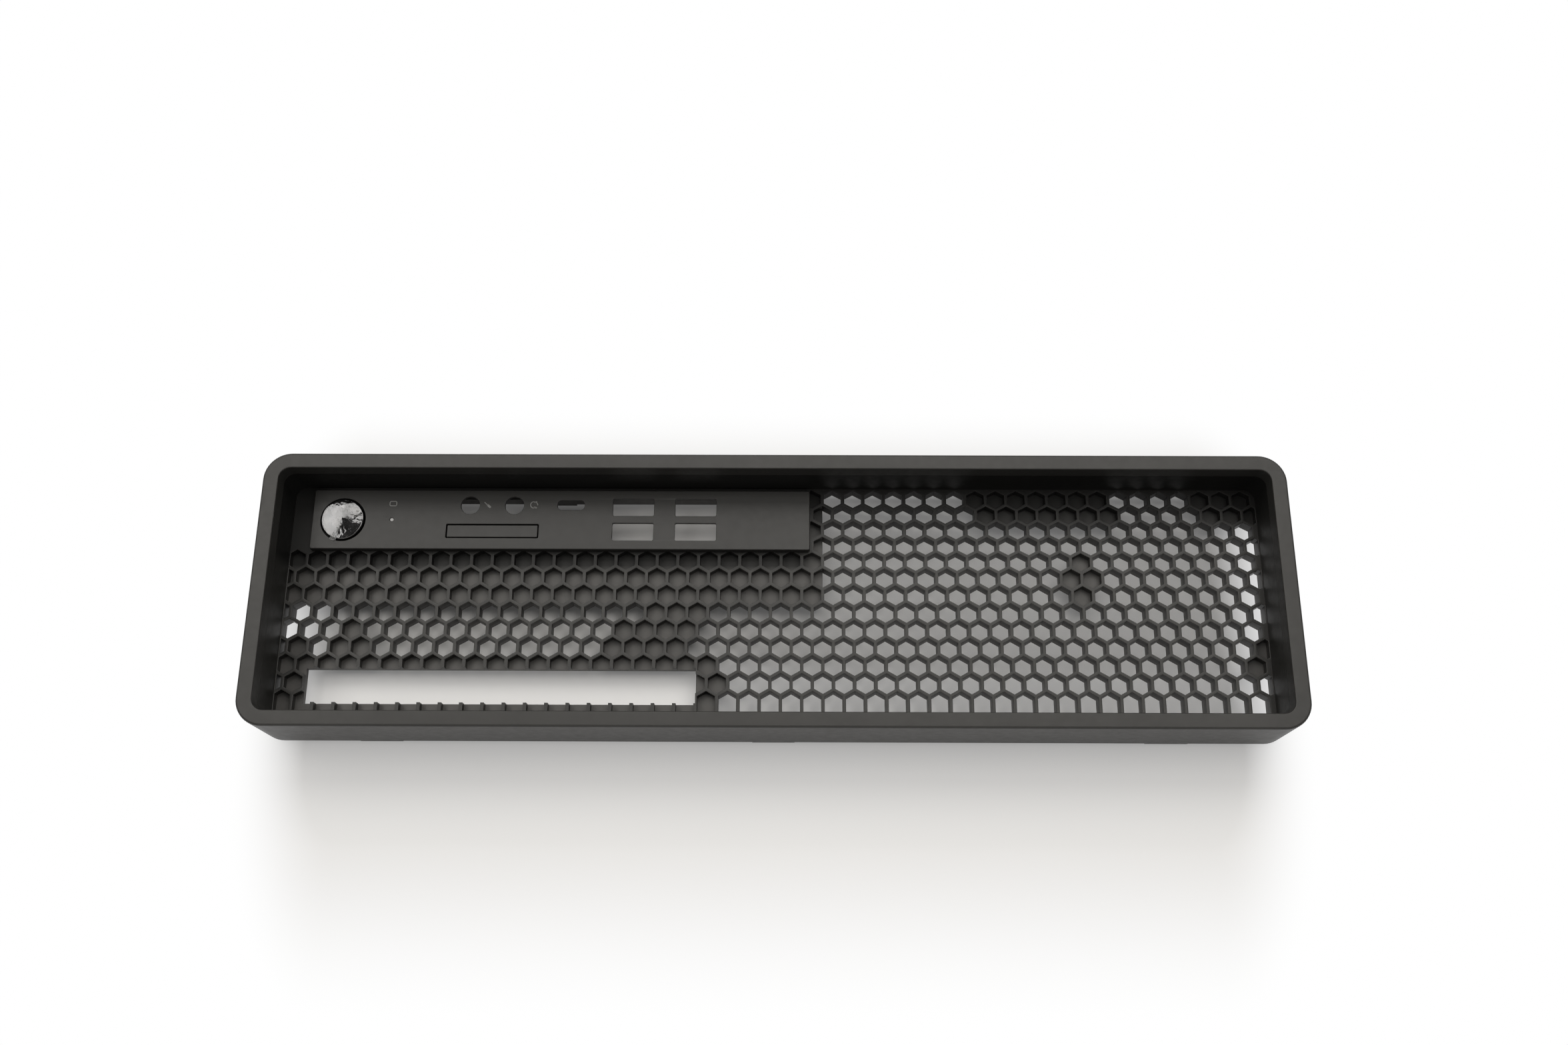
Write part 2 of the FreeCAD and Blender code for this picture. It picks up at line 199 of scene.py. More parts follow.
frame_plastic = moulded_plastic("frame_plastic", dark=(0.0270, 0.0262, 0.0246),
                                light=(0.0330, 0.0322, 0.0302), matt=0.48, grain=2e-5)
grille_plastic = moulded_plastic("grille_plastic", dark=(0.0215, 0.0210, 0.0195),
                                 light=(0.0270, 0.0265, 0.0245), matt=0.46, grain=2e-5,
                                 shade=mesh_floors_and_painted_shade)
panel_plastic = moulded_plastic("panel_plastic", dark=(0.0185, 0.0180, 0.0170),
                                light=(0.0220, 0.0215, 0.0202), matt=0.44, grain=1.5e-5)
print("Plastics:", frame_plastic.name, grille_plastic.name, panel_plastic.name)

# %% [markdown]
# ## Helpers for pieces
# Every piece starts as a bmesh in millimetres. When it is done, one function scales it, makes its
# flat sides flat and its rounded edges smooth, and gives it a material. A second one ties it to the
# CAD body that it moves with.

# %% Turn a bmesh into a piece
MM = 0.001
SHARP_ANGLE = math.radians(35)
NEAR = 0.01
WELD = 0.0005
NO_LENGTH = 0.0001


def verts_in(made):
    """The vertices among what an operator made."""
    return [item for item in made if isinstance(item, bmesh.types.BMVert)]


def faces_in(made):
    """The faces among what an operator made."""
    return [item for item in made if isinstance(item, bmesh.types.BMFace)]


def weld(bm, verts):
    """Merges doubles and drops edges without length."""
    bmesh.ops.remove_doubles(bm, verts=verts, dist=WELD)
    bmesh.ops.dissolve_degenerate(bm, edges=bm.edges, dist=NO_LENGTH)


def make_object(bm, name, material):
    """An object at the origin from a bmesh in millimetres, with smooth bevels and flat sides."""
    bmesh.ops.recalc_face_normals(bm, faces=bm.faces)
    bmesh.ops.scale(bm, vec=(MM, MM, MM), verts=bm.verts)
    for face in bm.faces:
        face.smooth = True
    for edge in bm.edges:
        edge.smooth = edge.calc_face_angle(0) < SHARP_ANGLE
    mesh = bpy.data.meshes.new(name)
    bm.to_mesh(mesh)
    bm.free()
    mesh.materials.append(material)
    piece = bpy.data.objects.new(name, mesh)
    bpy.context.scene.collection.objects.link(piece)
    flatten = piece.modifiers.new("flat_sides", "WEIGHTED_NORMAL")
    flatten.keep_sharp = True
    print(name, "has", len(mesh.polygons), "faces")
    return piece


def dress(piece, nodes=(), body="bezel"):
    """Ties a piece to its body, and lets it stand for CAD nodes by hiding them."""
    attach(piece, body)
    if nodes:
        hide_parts(*nodes)


print("Edges of more than", round(math.degrees(SHARP_ANGLE)), "degrees stay sharp")

# %% [markdown]
# ## Front frame
# The frame is one moulding: outer walls, a flat rim that is softly rounded to the outside, and a
# short lip into the recess. It could be a box with a smaller box cut out, but its skin is quicker
# to draw: an extrusion up, an inset across the rim and an extrusion down, and a solidify gives the
# wall. The rounding of the rim comes last, so that the inside of the wall stays sharp as it is in
# the tool.

# %% Rounded plates and raised faces
CORNER_STEPS = 8


def rounded_plate(bm, middle, size, radius, level, segments=CORNER_STEPS):
    """One flat face with round corners, at a level."""
    before = set(bm.faces)
    corners = bmesh.ops.create_grid(bm, x_segments=1, y_segments=1, size=0.5)["verts"]
    bmesh.ops.scale(bm, vec=(size[0], size[1], 1), verts=corners)
    bmesh.ops.translate(bm, vec=(middle[0], middle[1], level), verts=corners)
    if radius:
        bmesh.ops.bevel(bm, geom=corners, offset=radius, offset_type="OFFSET", segments=segments,
                        profile=0.5, affect="VERTICES", material=-1)
    return next(face for face in bm.faces if face not in before)


def raise_face(bm, face, height, keep=False):
    """Extrudes one face along Z and gives the moved face."""
    made = bmesh.ops.extrude_face_region(bm, geom=[face])["geom"]
    bmesh.ops.translate(bm, vec=(0, 0, height), verts=verts_in(made))
    if not keep:
        bmesh.ops.delete(bm, geom=[face], context="FACES_ONLY")
    return faces_in(made)[0]


print("Round corners have", CORNER_STEPS, "steps")

# %% Frame walls, rim and lip
FRAME_SIZE = (339.5, 92.0)
FRAME_BACK = 5.0
FRAME_FRONT = 29.6
CORNER = 9.0
OUTLINE_STEPS = 12
RIM = 5.15
LIP_DEPTH = 6.0
WALL = 1.8
RECESS_X = FRAME_SIZE[0] / 2 - RIM
RECESS_Y = FRAME_SIZE[1] / 2 - RIM

bm = bmesh.new()
back_face = rounded_plate(bm, (0, 0), FRAME_SIZE, CORNER, FRAME_BACK, OUTLINE_STEPS)
rim_face = raise_face(bm, back_face, FRAME_FRONT - FRAME_BACK)
bmesh.ops.inset_region(bm, faces=[rim_face], thickness=RIM, use_even_offset=True)
lip_face = raise_face(bm, rim_face, -LIP_DEPTH)
bmesh.ops.delete(bm, geom=[lip_face], context="FACES_ONLY")
bmesh.ops.recalc_face_normals(bm, faces=bm.faces)
bmesh.ops.solidify(bm, geom=bm.faces[:], thickness=WALL)
low = min(vert.co.x for vert in bm.verts)
print("Frame reaches x", round(low, 2))

# %% Round the rim
OUTER_ROUND, OUTER_STEPS = 0.8, 4
INNER_ROUND, INNER_STEPS = 0.4, 3
SQUARE_TURN = 1.0


def turned_edges(bm, level):
    """The edges at a level, or above it, where a face turns down."""
    return [edge for edge in bm.edges if min(vert.co.z for vert in edge.verts) > level - NEAR
            and edge.calc_face_angle(0) > SQUARE_TURN]


def is_outer(edge):
    """Whether an edge of the rim is on its outside, by its distance from the corners' centres."""
    middle = (edge.verts[0].co + edge.verts[1].co) / 2
    x = max(abs(middle.x) - FRAME_SIZE[0] / 2 + CORNER, 0)
    y = max(abs(middle.y) - FRAME_SIZE[1] / 2 + CORNER, 0)
    return math.hypot(x, y) > CORNER - RIM / 2


def round_edges(bm, edges, radius, steps, clamp=False):
    """Bevels edges to a round."""
    bmesh.ops.bevel(bm, geom=edges, offset=radius, offset_type="OFFSET", segments=steps,
                    profile=0.5, affect="EDGES", clamp_overlap=clamp, material=-1)


for outer, radius, steps in ((True, OUTER_ROUND, OUTER_STEPS), (False, INNER_ROUND, INNER_STEPS)):
    rim = [edge for edge in turned_edges(bm, FRAME_FRONT) if is_outer(edge) == outer]
    round_edges(bm, rim, radius, steps, True)
dress(make_object(bm, "front_frame_moulding", frame_plastic), ["front_frame"])

# %% [markdown]
# The frame's snap tabs hang from its long back edges. The lower ones are plain tongues, the upper
# ones have a barb on the inside. Each is a cube that is pulled into a tongue, and its barb is one
# face drawn out and sloped, which leaves no seam.

# %% Snap tabs
TAB_WIDTH = 14.0
TAB_THICKNESS = 1.6
TAB_ROOT = 1.5
TAB_INSET = 1.0
TAB_PLACES = (-130.0, 0.0, 130.0)
TAB_TAPER = 0.6
BARB_LENGTH = 2.0
BARB_HEIGHT = 0.9


def block(bm, low, high):
    """A box between two corners."""
    verts = bmesh.ops.create_cube(bm, size=1.0)["verts"]
    low, high = Vector(low), Vector(high)
    bmesh.ops.scale(bm, vec=high - low, verts=verts)
    bmesh.ops.translate(bm, vec=(low + high) / 2, verts=verts)
    return verts


def cut_sheet(bm, faces, point, normal, trim=False):
    """Cuts faces along a plane, takes away what is beyond it if asked, and gives what is left."""
    edges = dict.fromkeys(edge for face in faces for edge in face.edges)
    verts = dict.fromkeys(vert for face in faces for vert in face.verts)
    return bmesh.ops.bisect_plane(bm, geom=[*verts, *edges, *faces], plane_co=point,
                                  plane_no=normal, clear_outer=trim)["geom"]


def snap_nose(bm, verts, side_y, top, reach):
    """Draws a sloped nose out of one side of a block, from its end up to a level."""
    faces = dict.fromkeys(face for vert in verts for face in vert.link_faces)
    ends = []
    for face in faces_in(cut_sheet(bm, list(faces), (0, 0, top), (0, 0, 1))):
        middle = face.calc_center_median()
        if abs(middle.y - side_y) < NEAR and middle.z < top - NEAR:
            ends.append(face)
    nose = bmesh.ops.extrude_discrete_faces(bm, faces=ends)["faces"][0]
    upper = [vert for vert in nose.verts if vert.co.z > top - NEAR]
    bmesh.ops.translate(bm, vec=(0, reach, 0), verts=upper)


bm = bmesh.new()
tab_middle = FRAME_SIZE[1] / 2 - TAB_INSET
for x in TAB_PLACES:
    for side in (-1, 1):
        inner, outer = [side * (tab_middle + part * TAB_THICKNESS / 2) for part in (-1, 1)]
        tongue = block(bm, (x - TAB_WIDTH / 2, min(inner, outer), 0),
                       (x + TAB_WIDTH / 2, max(inner, outer), FRAME_BACK + TAB_ROOT))
        tip = [vert for vert in tongue if vert.co.z < NEAR and abs(vert.co.y - outer) < NEAR]
        bmesh.ops.translate(bm, vec=(0, -side * TAB_TAPER, 0), verts=tip)
        if side > 0:
            snap_nose(bm, tongue, inner, BARB_LENGTH, -BARB_HEIGHT)
weld(bm, bm.verts)
dress(make_object(bm, "snap_tabs", frame_plastic))

# %% [markdown]
# ## Grille tray
# The mesh is the feature that gives this bezel its look: hexagons on their points, some open to the
# machine's air path and some only shallow pockets in front of solid pads. It is tiled, as a tool
# maker may draw it. Hexagon tiles cover the whole floor, each tile that is a cell is inset by half
# a rib, the pockets are pushed down and the open cells are drawn through. Computed points would do
# it too, but tiles weld to one sheet with even ribs by themselves. Two moves bend the pattern to
# the photo: the lowest row is longer, and the upper rows beside the panel, which lean back on the
# real part, are squeezed together.

# %% Tiles over the floor
MESH_THICKNESS = 5.0
MESH_FRONT = FRAME_BACK + MESH_THICKNESS
PITCH = 7.0
SIDE = PITCH / math.sqrt(3)
ROW_STEP = PITCH * math.sqrt(3) / 2
FIRST_X = -RECESS_X + 2.4
FIRST_Y = -RECESS_Y + 7.35
ROWS = range(-2, 14)
COLUMNS = range(-2, 50)

bm = bmesh.new()
for row in ROWS:
    for column in COLUMNS:
        x = FIRST_X + column * PITCH + (row % 2) * PITCH / 2
        place = Matrix.Translation((x, FIRST_Y + row * ROW_STEP, MESH_FRONT))
        bmesh.ops.create_circle(bm, cap_ends=True, segments=6, radius=SIDE, matrix=place)
bmesh.ops.remove_doubles(bm, verts=bm.verts, dist=NEAR)
print("Floor has", len(bm.faces), "tiles")

# %% Longer lowest row and closer upper rows
ROW_DROP = 2.4
SQUEEZE = 0.925
SQUEEZE_LEFT, SQUEEZE_LOW = 11.0, 12.0


def is_squeezed(point):
    """Whether a point lies in the part of the floor that is squeezed."""
    return point.x > SQUEEZE_LEFT and point.y > SQUEEZE_LOW


def tile_middle(point):
    """Middle of the tile that a point lies on, as it was before the squeeze."""
    nearest = None
    point = point.copy()
    if is_squeezed(point):
        point.y = SQUEEZE_LOW + (point.y - SQUEEZE_LOW) / SQUEEZE
    guess = round((point.y - FIRST_Y) / ROW_STEP)
    for row in range(guess - 1, guess + 2):
        start = FIRST_X + (row % 2) * PITCH / 2
        x = start + round((point.x - start) / PITCH) * PITCH
        middle = Vector((x, FIRST_Y + row * ROW_STEP, point.z))
        if nearest is None or (middle - point).length < (nearest - point).length:
            nearest = middle
    return nearest


zigzag = [vert for vert in bm.verts if SIDE / 2 - NEAR < FIRST_Y - vert.co.y < SIDE + NEAR]
bmesh.ops.translate(bm, vec=(0, -ROW_DROP, 0), verts=zigzag)
upper = [vert for vert in bm.verts if is_squeezed(vert.co)]
squeeze_line = Matrix.Translation((0, -SQUEEZE_LOW, 0))
bmesh.ops.scale(bm, vec=(1, SQUEEZE, 1), space=squeeze_line, verts=upper)
print("Moved", len(zigzag), "points down and", len(upper), "closer")

# %% Trim the floor and mark the field of cells
FLOOR_INSET = 2.15
FLOOR_X = FRAME_SIZE[0] / 2 - FLOOR_INSET
FLOOR_Y = FRAME_SIZE[1] / 2 - FLOOR_INSET
FLOOR_CORNER = CORNER - FLOOR_INSET
CORNER_CUTS = (15, 35, 55, 75)
MESH_BORDER = 0.3
RIB = 1.15
FIELD_X = RECESS_X - MESH_BORDER + RIB / 2
FIELD_Y = RECESS_Y - MESH_BORDER + RIB / 2
PANEL_LEFT, PANEL_RIGHT = -157.5, 12.0
PANEL_LOW, PANEL_HIGH = 18.0, 39.2
LEDGE = 1.0
WINDOW = (PANEL_LEFT + LEDGE, PANEL_RIGHT - LEDGE, PANEL_LOW + LEDGE, PANEL_HIGH - LEDGE)
BESIDE_LEFT = WINDOW[0] - RIB / 2
BESIDE_RIGHT = WINDOW[1] + RIB / 2

RIGHT, UP = Vector((1, 0, 0)), Vector((0, 1, 0))
for out, reach in ((RIGHT, FLOOR_X), (-RIGHT, FLOOR_X), (UP, FLOOR_Y), (-UP, FLOOR_Y)):
    cut_sheet(bm, bm.faces[:], out * reach, out, True)
for side_x in (-1, 1):
    for side_y in (-1, 1):
        arc_x, arc_y = FLOOR_X - FLOOR_CORNER, FLOOR_Y - FLOOR_CORNER
        arc_middle = Vector((side_x * arc_x, side_y * arc_y, 0))
        for angle in CORNER_CUTS:
            turn = math.radians(angle)
            out = Vector((side_x * math.cos(turn), side_y * math.sin(turn), 0))
            cut_sheet(bm, bm.faces[:], arc_middle + out * FLOOR_CORNER, out, True)
for axis, reach in ((RIGHT, FIELD_X), (UP, FIELD_Y)):
    cut_sheet(bm, bm.faces[:], axis * reach, axis)
    cut_sheet(bm, bm.faces[:], axis * -reach, axis)
for x in (BESIDE_LEFT, BESIDE_RIGHT):
    upper = [face for face in bm.faces if tile_middle(face.calc_center_median()).y > WINDOW[2]]
    cut_sheet(bm, upper, RIGHT * x, RIGHT)
print("Trimmed floor has", len(bm.faces), "faces")

# %% [markdown]
# The pads behind the mesh are known from the photo by their grey floors: one behind the port panel,
# one round the drive slot, bosses, clips and corners. A tile whose middle lies on a pad becomes a
# pocket, and what is left too small by a cut stays solid. The walls of the open cells widen a
# little towards the back, the draft that lets a moulding leave its tool.

# %% Choose the cells and the pockets
SMALLEST_CELL = 2.4
PAD_EDGE = -RECESS_X + 181.0
PAD_LOW = -RECESS_Y + 40.5
# Left, right, low and high distances from the recess's lower left corner
PADS = {
    "round the slot": (0.0, 146.6, 0.0, 21.85),
    "left edge": (0.0, 8.6, 0.0, 28.85),
    "left boss": (18.6, 28.6, 23.85, 32.85),
    "middle boss, low": (109.6, 133.1, 23.85, 32.85),
    "middle boss, high": (120.6, 140.1, 29.85, 38.85),
    "right boss": (263.6, 273.6, 41.85, 57.85),
    "top clip": (232.6, 279.1, 70.85, 81.7),
    "top corner": (310.1, 329.2, 70.85, 81.7),
    "right edge": (321.6, 329.2, 16.85, 27.85),
}


def box_of(face):
    """Left, right, low and high reach of a face."""
    xs = [vert.co.x for vert in face.verts]
    ys = [vert.co.y for vert in face.verts]
    return min(xs), max(xs), min(ys), max(ys)


def on_pad(middle):
    """Whether a tile lies in front of a solid pad."""
    x, y = middle.x + RECESS_X, middle.y + RECESS_Y
    for left, right, low, high in PADS.values():
        if left <= x <= right and low <= y <= high:
            return True
    return middle.y > PAD_LOW and middle.x - PITCH / 2 + RIB < PAD_EDGE


def is_cell(face):
    """Whether a face of the floor is a cell of the mesh."""
    middle = face.calc_center_median()
    left, right, low, high = box_of(face)
    if abs(middle.x) > FIELD_X or abs(middle.y) > FIELD_Y:
        return False
    if min(right - left, high - low) < SMALLEST_CELL:
        return False
    tile = tile_middle(middle)
    if tile.y < FIRST_Y - NEAR:
        return False
    return tile.y < WINDOW[2] or middle.x > BESIDE_RIGHT


cells = [face for face in bm.faces if is_cell(face)]
print("Floor has", len(cells), "cells")

# %% Inset the cells, push the pockets down and draw the others through
POCKET_DEPTH = 3.0
DRAFT = 0.05

bmesh.ops.inset_individual(bm, faces=cells, thickness=RIB / 2, use_even_offset=True)
blind, open_cells = [], []
for face in cells:
    group = blind if on_pad(tile_middle(face.calc_center_median())) else open_cells
    group.append(face)
floors = bmesh.ops.extrude_discrete_faces(bm, faces=blind)["faces"]
ends = bmesh.ops.extrude_discrete_faces(bm, faces=open_cells)["faces"]
for group, depth in ((floors, POCKET_DEPTH), (ends, MESH_THICKNESS)):
    verts = [vert for face in group for vert in face.verts]
    bmesh.ops.translate(bm, vec=(0, 0, -depth), verts=verts)
wider = 1 + 2 * DRAFT / (PITCH - RIB)
for face in ends:
    about = Matrix.Translation(-face.calc_center_bounds())
    bmesh.ops.scale(bm, vec=(wider, wider, 1), space=about, verts=face.verts)
bmesh.ops.delete(bm, geom=ends, context="FACES_ONLY")
print("Cells:", len(open_cells), "open and", len(blind), "pockets")

# %% [markdown]
# The pad behind the panel ends in the middle of a column of cells, so the floors of that column are
# cut along its edge and lose one side. The panel's window and the drive slot are cut in the same
# way, plane by plane. A boolean could take out all of them, but a cut keeps the ribs' faces clean.

# %% Cut the half open cells, the window and the drive slot
SLOT = (-155.45, -25.75, -34.15, -22.3)


def cut_rectangle(bm, box):
    """Cuts a rectangle out of the floor."""
    for place, normal in ((box[0], RIGHT), (box[1], RIGHT), (box[2], UP), (box[3], UP)):
        near = []
        for face in bm.faces:
            left, right, low, high = box_of(face)
            if left < box[1] and right > box[0] and low < box[3] and high > box[2]:
                near.append(face)
        cut_sheet(bm, near, normal * place, normal)
    inside = []
    for face in bm.faces:
        middle = face.calc_center_bounds()
        if box[0] < middle.x < box[1] and box[2] < middle.y < box[3]:
            inside.append(face)
    bmesh.ops.delete(bm, geom=inside, context="FACES")


straddling = []
for face in floors:
    left, right, low, high = box_of(face)
    if left < PAD_EDGE < right and low > PAD_LOW - PITCH / 2:
        straddling.append(face)
cut_sheet(bm, straddling, RIGHT * PAD_EDGE, RIGHT)
pocket_level = MESH_FRONT - POCKET_DEPTH
past_pad = []
for face in bm.faces:
    middle = face.calc_center_median()
    if abs(middle.z - pocket_level) < NEAR and middle.y > PAD_LOW:
        if PAD_EDGE < middle.x < PAD_EDGE + PITCH:
            past_pad.append(face)
bmesh.ops.delete(bm, geom=past_pad, context="FACES_ONLY")
cut_rectangle(bm, WINDOW)
cut_rectangle(bm, SLOT)
print("Half open cells:", len(past_pad))

# %% [markdown]
# So far the floor is an open sheet. Its free edges are drawn down to the back, and one fill closes
# the back between them. Then the ribs get the small round of a moulded edge. A bevel stumbles over
# very short edges, so the few beside a sliver stay sharp.

# %% Close the floor's sides and back, then soften the ribs
RIB_ROUND, RIB_STEPS = 0.2, 2
SHORTEST_SIDE = 1.0


def free_edges(bm, at_back):
    """The open edges of the floor that lie at the back, or those that still have to go there."""
    found = []
    for edge in bm.edges:
        level = max(vert.co.z for vert in edge.verts)
        if edge.is_boundary and (level < FRAME_BACK + NEAR) == at_back:
            found.append(edge)
    return found


sides = bmesh.ops.extrude_edge_only(bm, edges=free_edges(bm, False))["geom"]
for vert in verts_in(sides):
    vert.co.z = FRAME_BACK
weld(bm, verts_in(sides))
back_edges = free_edges(bm, True)
filled = bmesh.ops.triangle_fill(bm, edges=back_edges, use_beauty=True, normal=(0, 0, -1))["geom"]
print("Back has", len(faces_in(filled)), "faces on", len(back_edges), "edges")
bmesh.ops.recalc_face_normals(bm, faces=bm.faces)
turning = turned_edges(bm, MESH_FRONT)
short = [edge for edge in turning if edge.calc_length() < SHORTEST_SIDE]
slivers = {vert for edge in short for vert in edge.verts}
softened = [edge for edge in turning if not slivers.intersection(edge.verts)]
round_edges(bm, softened, RIB_ROUND, RIB_STEPS)
still_open = sum(edge.is_boundary for edge in bm.edges)
print("Softened edges:", len(softened), "and open edges:", still_open)

# %% [markdown]
# The recess walls belong to the same moulding. They stand on the floor's edge and end just under
# the frame's lip. A plate with round corners, inset to a ring and drawn up, gives all four at once.

# %% Recess walls
TRAY_WALL = 1.6
LIP_GAP = 0.1
WALL_ROOT = 0.1


def ring_wall(bm, middle, size, radius, thickness, low, high):
    """A wall round a rectangle with round corners."""
    face = rounded_plate(bm, middle, size, radius, low)
    ring = bmesh.ops.inset_region(bm, faces=[face], thickness=thickness, use_even_offset=True,
                                  use_boundary=True)["faces"]
    bmesh.ops.delete(bm, geom=[face], context="FACES_ONLY")
    made = bmesh.ops.extrude_face_region(bm, geom=ring, use_keep_orig=True)["geom"]
    bmesh.ops.translate(bm, vec=(0, 0, high - low), verts=verts_in(made))


wall_size = (2 * (RECESS_X + TRAY_WALL), 2 * (RECESS_Y + TRAY_WALL))
ring_wall(bm, (0, 0), wall_size, CORNER - RIM + TRAY_WALL, TRAY_WALL, MESH_FRONT - WALL_ROOT,
          FRAME_FRONT - LIP_DEPTH - LIP_GAP)
dress(make_object(bm, "grille_tray_moulding", grille_plastic), ["grille_tray"])

# %% [markdown]
# ## Port panel
# The panel is a plate with crisp edges that snaps into the mesh's window. It has more holes than
# sides, so it is drawn as loops: the outline and each hole are loops in the front plane, a fill
# makes the front between them, and every loop is then drawn down through small steps that give it a
# rounded edge, a wall and a ledge. A second fill closes the back. Behind each port the hole steps
# wider, as it does where a thin front is wanted.

# %% Loops that are drawn down
PANEL_FRONT = MESH_FRONT + 2.6
PANEL_MIDDLE = ((PANEL_LEFT + PANEL_RIGHT) / 2, (PANEL_LOW + PANEL_HIGH) / 2)
PANEL_SIZE = (PANEL_RIGHT - PANEL_LEFT, PANEL_HIGH - PANEL_LOW)
EDGE_STEPS = 3


def edge_steps(front, radius, sign):
    """Steps of outset and level down a rounded edge."""
    steps = []
    for step in range(1, EDGE_STEPS + 1):
        angle = math.pi / 2 * step / EDGE_STEPS
        steps.append((sign * radius * math.sin(angle), front - radius * (1 - math.cos(angle))))
    return steps


def draw_down(bm, edges, steps):
    """Draws a loop through steps of outset and level, and gives the last loop."""
    points = [vert.co for edge in edges for vert in edge.verts]
    low = Vector([min(point[axis] for point in points) for axis in range(3)])
    high = Vector([max(point[axis] for point in points) for axis in range(3)])
    shift = Matrix.Translation(-(low + high) / 2)
    last, here = 0, low.z
    for outset, level in steps:
        made = bmesh.ops.extrude_edge_only(bm, edges=edges)["geom"]
        verts = set(verts_in(made))
        wider = [(side + 2 * outset) / (side + 2 * last) for side in (high - low).xy]
        bmesh.ops.scale(bm, vec=(*wider, 1), space=shift, verts=list(verts))
        bmesh.ops.translate(bm, vec=(0, 0, level - here), verts=list(verts))
        edges = [item for item in made
                 if isinstance(item, bmesh.types.BMEdge) and verts.issuperset(item.verts)]
        last, here = outset, level
    return edges


print("Panel is", PANEL_SIZE[0], "by", round(PANEL_SIZE[1], 1), "mm")

# %% Places and sizes of the panel's openings
DATA_PORT_SIZE, DATA_PORT_CORNER = (14.0, 6.2), 0.4
DATA_PORT_COLUMNS, DATA_PORT_ROWS = (109.35, 130.65), (6.3, 15.1)
OVAL_PORT, OVAL_PORT_SIZE, OVAL_PORT_CORNER = (88.0, 15.85), (9.2, 3.5), 1.4
JACK_COLUMNS, JACK_ROW, JACK_HOLE = (53.6, 68.7), 15.7, 6.4
CARD_SIZE, CARD_SLOT_CORNER = (31.5, 5.0), 0.3
BUTTON_HOLE = 15.3
LIGHT_HOLE = 1.4


def on_panel(x, y):
    """Place on the panel, given from its lower left corner."""
    return PANEL_LEFT + x, PANEL_LOW + y


def round_hole(middle, width):
    """Middle, size and corner radius of a round hole."""
    return middle, (width, width), width / 2


CARD = on_panel(61.6, 6.45)
BUTTON = on_panel(10.5, 10.4)
LIGHT = on_panel(27.15, 10.45)
ports = [(on_panel(x, y), DATA_PORT_SIZE, DATA_PORT_CORNER)
         for x in DATA_PORT_COLUMNS for y in DATA_PORT_ROWS]
ports.append((on_panel(*OVAL_PORT), OVAL_PORT_SIZE, OVAL_PORT_CORNER))
ports += [round_hole(on_panel(x, JACK_ROW), JACK_HOLE) for x in JACK_COLUMNS]
holes = [(CARD, CARD_SIZE, CARD_SLOT_CORNER), round_hole(BUTTON, BUTTON_HOLE),
         round_hole(LIGHT, LIGHT_HOLE)]
print("Panel has", len(ports), "ports and", len(holes), "other holes")

# %% Panel front, holes and skirt
EDGE_ROUND = 0.3
HOLE_ROUND = 0.15
OUTLINE_CORNER = 0.5
LOOP_STEPS = 10
LOOP_SLACK = 0.001
FRONT_SHEET = 1.0
PORT_STEP = 1.0
SKIRT_INSET = 1.2
SKIRT_WALL = 1.2
GAP_LINE = 0.5


def at_front(openings):
    """Openings as they are at the front, where their rounded edge makes them wider."""
    return [(middle, [side + 2 * HOLE_ROUND for side in size], radius + HOLE_ROUND)
            for middle, size, radius in openings]


hole_edge = edge_steps(PANEL_FRONT, HOLE_ROUND, -1)
hole_steps = hole_edge + [(-HOLE_ROUND, MESH_FRONT)]
sheet_back = PANEL_FRONT - FRONT_SHEET
port_steps = hole_edge + [(-HOLE_ROUND, sheet_back), (PORT_STEP - HOLE_ROUND, sheet_back),
                          (PORT_STEP - HOLE_ROUND, MESH_FRONT)]
skirt_out = EDGE_ROUND - SKIRT_INSET
outer_steps = edge_steps(PANEL_FRONT, EDGE_ROUND, 1) + [
    (EDGE_ROUND, MESH_FRONT + GAP_LINE),
    (EDGE_ROUND - GAP_LINE, MESH_FRONT + GAP_LINE),
    (EDGE_ROUND - GAP_LINE, MESH_FRONT),
    (skirt_out, MESH_FRONT),
    (skirt_out, FRAME_BACK),
    (skirt_out - SKIRT_WALL, FRAME_BACK),
    (skirt_out - SKIRT_WALL, MESH_FRONT),
]
outline = (PANEL_MIDDLE, [side - 2 * EDGE_ROUND for side in PANEL_SIZE], OUTLINE_CORNER)

bm = bmesh.new()
front_loops, back_loops = [], []
groups = (([outline], outer_steps), (at_front(holes), hole_steps), (at_front(ports), port_steps))
for group, steps in groups:
    for middle, size, radius in group:
        face = rounded_plate(bm, middle, size, radius - LOOP_SLACK, PANEL_FRONT, LOOP_STEPS)
        loop = face.edges[:]
        bmesh.ops.delete(bm, geom=[face], context="FACES_ONLY")
        front_loops += loop
        back_loops += draw_down(bm, loop, steps)
bmesh.ops.triangle_fill(bm, edges=front_loops, use_beauty=True, normal=(0, 0, 1))
bmesh.ops.triangle_fill(bm, edges=back_loops, use_beauty=True, normal=(0, 0, -1))
print("Panel has", len(bm.faces), "faces before its hooks")

# %% Hooks on the skirt and posts for the spring
HOOK_STEP = 60.0
HOOK_HALF = 4.0
HOOK_NOSE_TOP, HOOK_END = 4.9, 3.7
HOOK_ROOT, HOOK_REACH = 0.1, 0.7
SPRING = 0.6
EYE_FRONT = MESH_FRONT - 1.1
POST_X = BUTTON[0] + 12.85
POST_ROWS = (BUTTON[1] - 3.35, BUTTON[1] + 3.35)
POST_HALF, NECK_HALF = 1.7, 1.0
POST_ROOT, POST_HEAD = 0.05, 0.7

